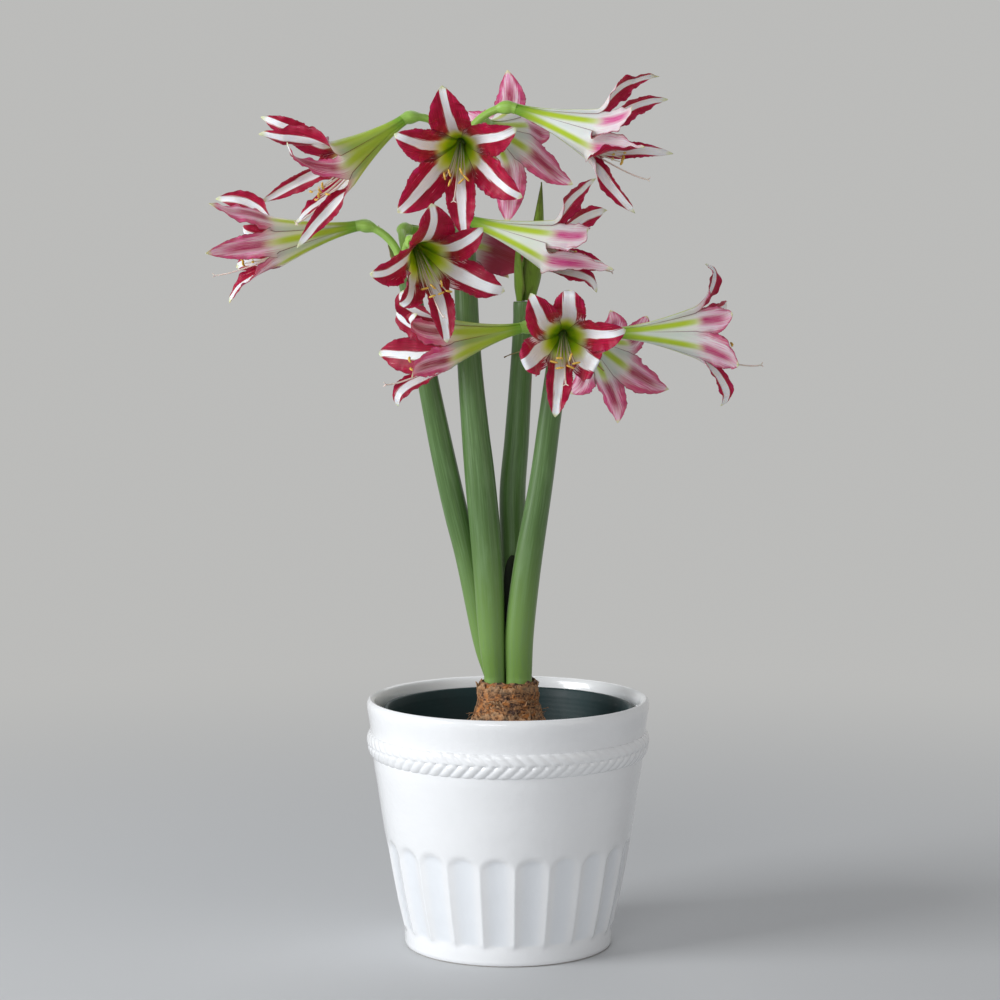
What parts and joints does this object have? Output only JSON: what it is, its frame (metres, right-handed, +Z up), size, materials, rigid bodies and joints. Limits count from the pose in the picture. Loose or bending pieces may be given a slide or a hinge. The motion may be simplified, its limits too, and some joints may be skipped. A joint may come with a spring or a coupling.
{
  "type": "potted amaryllis",
  "caption": "Potted amaryllis: half-buried bulb with upright scapes carrying umbels of open trumpet flowers and one splitting spathe, in a nursery pot set inside a fluted, rope-banded cachepot.",
  "frame": {"origin": "centre of the cachepot's flat underside", "axes": "+Z up along the pot's axis to the top flowers, -Y towards the viewer's side, +X to that viewer's right"},
  "size_m": [0.441, 0.3307, 0.7159],
  "materials": {
    "glazed_cachepot": "gloss",
    "pot_plastic": "satin",
    "soil": "matte",
    "bulb_scales": "matte",
    "papery_tunic": "matte",
    "scape_skin": "satin",
    "leaf": "satin",
    "spathe": "satin",
    "withered_bract": "matte",
    "pedicel": "satin",
    "tepals": "satin",
    "stamens_and_style": "satin"
  },
  "bodies": {
    "root": {"cachepot": "glazed_cachepot", "nursery_pot": "pot_plastic", "potting_soil": "soil", "bulb": "bulb_scales", "tunic_inner": "papery_tunic", "tunic_outer": "papery_tunic", "scape_left": "scape_skin", "scape_tall": "scape_skin", "scape_back": "scape_skin", "scape_right": "scape_skin", "young_leaf": "leaf", "spathe_valve_left": "spathe", "spathe_valve_right": "spathe", "spathe_bud": "spathe", "bract_upper_left": "withered_bract", "bract_upper_right": "withered_bract", "bract_middle_left": "withered_bract", "bract_middle_right": "withered_bract", "bract_lower_left": "withered_bract", "bract_lower_right": "withered_bract", "upper_left_perianth": "tepals", "upper_left_stamens": "stamens_and_style", "upper_left_pedicel": "pedicel", "upper_front_perianth": "tepals", "upper_front_stamens": "stamens_and_style", "upper_front_pedicel": "pedicel", "upper_back_perianth": "tepals", "upper_back_stamens": "stamens_and_style", "upper_back_pedicel": "pedicel", "upper_right_perianth": "tepals", "upper_right_stamens": "stamens_and_style", "upper_right_pedicel": "pedicel", "middle_left_perianth": "tepals", "middle_left_stamens": "stamens_and_style", "middle_left_pedicel": "pedicel", "middle_front_perianth": "tepals", "middle_front_stamens": "stamens_and_style", "middle_front_pedicel": "pedicel", "middle_back_perianth": "tepals", "middle_back_stamens": "stamens_and_style", "middle_back_pedicel": "pedicel", "middle_right_perianth": "tepals", "middle_right_stamens": "stamens_and_style", "middle_right_pedicel": "pedicel", "lower_left_perianth": "tepals", "lower_left_stamens": "stamens_and_style", "lower_left_pedicel": "pedicel", "lower_front_perianth": "tepals", "lower_front_stamens": "stamens_and_style", "lower_front_pedicel": "pedicel", "lower_back_perianth": "tepals", "lower_back_stamens": "stamens_and_style", "lower_back_pedicel": "pedicel", "lower_right_perianth": "tepals", "lower_right_stamens": "stamens_and_style", "lower_right_pedicel": "pedicel"}
  },
  "joints": []
}
